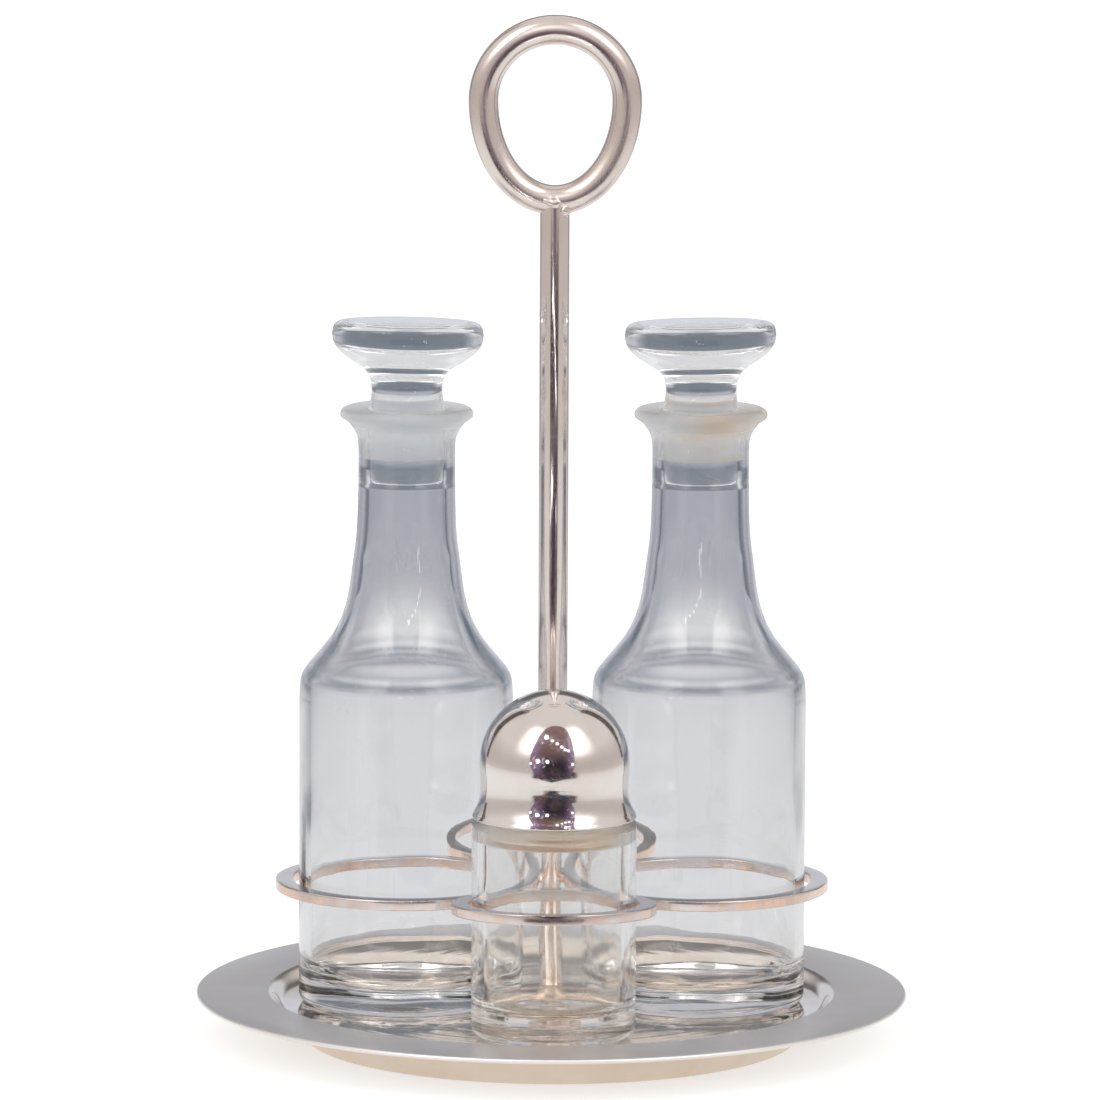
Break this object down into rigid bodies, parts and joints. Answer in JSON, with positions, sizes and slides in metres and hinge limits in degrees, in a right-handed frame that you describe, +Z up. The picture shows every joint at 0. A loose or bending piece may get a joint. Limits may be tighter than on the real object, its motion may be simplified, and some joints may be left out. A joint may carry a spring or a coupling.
{
  "type": "cruet set",
  "caption": "Silver-plated cruet stand: round tray, loop-handled rod and strap rings holding stoppered glass bottles and a domed glass jar.",
  "frame": {"origin": "centre of the circle the foot ring stands on, on the rod's axis", "axes": "+Z up along the rod, +X from the left bottle to the right bottle, -Y towards the jar (the front)"},
  "size_m": [0.1824, 0.1824, 0.2636],
  "materials": {
    "silver_plate": "polished silver plate, warm, lightly worn",
    "steel_hardware": "plain satin",
    "clear_glass": "clear, ground frosted zone at the bottle mouths",
    "amber_collar": "semi-gloss, amber tint"
  },
  "bodies": {
    "stand": {"tray": "silver_plate", "foot_ring": "silver_plate", "stem": "silver_plate", "stem_washer": "steel_hardware", "stem_nut": "steel_hardware", "handle_loop": "silver_plate", "left_bottle_ring": "silver_plate", "right_bottle_ring": "silver_plate", "front_pot_ring": "silver_plate", "back_pot_ring": "silver_plate"},
    "left_bottle": {"left_bottle": "clear_glass"},
    "right_bottle": {"right_bottle": "clear_glass"},
    "left_stopper": {"left_stopper": "clear_glass"},
    "right_stopper": {"right_stopper": "clear_glass"},
    "jar": {"front_jar": "clear_glass"},
    "lid": {"dome_lid": "silver_plate", "lid_collar": "amber_collar"}
  },
  "joints": [
    {"name": "left_bottle_lift", "type": "slide", "parent": "stand", "child": "left_bottle", "axis": [0, 0, 1], "range_m": [0, 0.034]},
    {"name": "right_bottle_lift", "type": "slide", "parent": "stand", "child": "right_bottle", "axis": [0, 0, 1], "range_m": [0, 0.034]},
    {"name": "left_stopper_pull", "type": "slide", "parent": "left_bottle", "child": "left_stopper", "axis": [0, 0, -1], "range_m": [-0.022, 0]},
    {"name": "right_stopper_pull", "type": "slide", "parent": "right_bottle", "child": "right_stopper", "axis": [0, 0, -1], "range_m": [-0.022, 0]},
    {"name": "jar_lift", "type": "slide", "parent": "stand", "child": "jar", "axis": [0, 0, 1], "range_m": [0, 0.036]},
    {"name": "lid_lift", "type": "slide", "parent": "jar", "child": "lid", "axis": [0, 0, 1], "range_m": [0, 0.03]}
  ]
}
